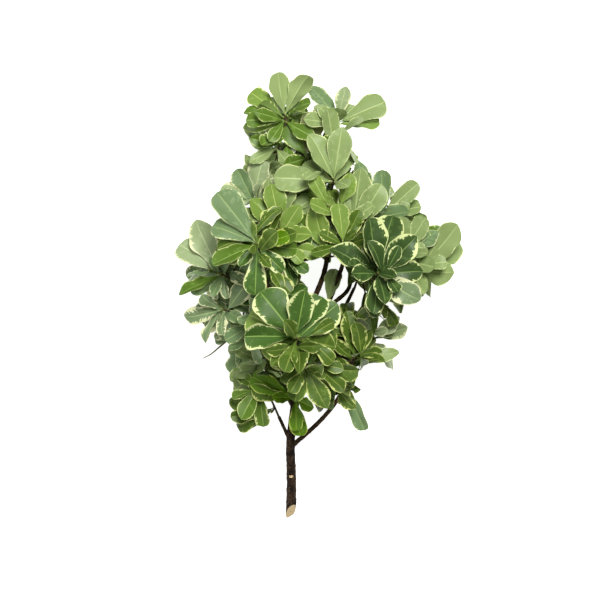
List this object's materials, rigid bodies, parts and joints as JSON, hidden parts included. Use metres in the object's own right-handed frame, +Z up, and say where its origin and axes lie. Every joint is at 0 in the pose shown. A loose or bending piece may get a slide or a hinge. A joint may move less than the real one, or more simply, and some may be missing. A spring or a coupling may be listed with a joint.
{
  "type": "cut branch of a variegated pittosporum shrub",
  "caption": "Cut leafy shrub branch lying down: bare woody foot with a slanting cut, boughs forking up to whorls of leathery blunt-tipped leaves that form a pointed oval crown.",
  "frame": {"origin": "middle of the bounding box at floor level, under the lying branch", "axes": "+Z up from the floor, +Y from the cut foot towards the crown's tip, +X to the right as seen from above with the tip away from the viewer"},
  "size_m": [0.3793, 0.6031, 0.2171],
  "materials": {
    "bark": "rough dark grey-brown bark, with a pale slanting cut face at the foot",
    "leaf": "leathery green leaves with cream to lime margins, satin upper faces"
  },
  "bodies": {
    "root": {"bough_back_left": "bark", "bough_back_right": "bark", "bough_back_upper": "bark", "bough_foot_left": "bark", "bough_foot_right": "bark", "bough_front": "bark", "bough_left": "bark", "bough_left_front": "bark", "bough_left_low": "bark", "bough_middle_left": "bark", "bough_right": "bark", "bough_right_front": "bark", "bough_top": "bark", "bough_top_left": "bark", "bough_upper_left": "bark", "bough_upper_middle": "bark", "bough_upper_right": "bark", "leaves_back_left": "leaf", "leaves_back_right": "leaf", "leaves_back_upper": "leaf", "leaves_foot_left": "leaf", "leaves_foot_right": "leaf", "leaves_front": "leaf", "leaves_left": "leaf", "leaves_left_front": "leaf", "leaves_left_low": "leaf", "leaves_lower_front": "leaf", "leaves_middle_left": "leaf", "leaves_right": "leaf", "leaves_right_front": "leaf", "leaves_top_left": "leaf", "leaves_top_right": "leaf", "leaves_upper_left": "leaf", "leaves_upper_middle": "leaf", "leaves_upper_right": "leaf", "main_stem": "bark"}
  },
  "joints": []
}
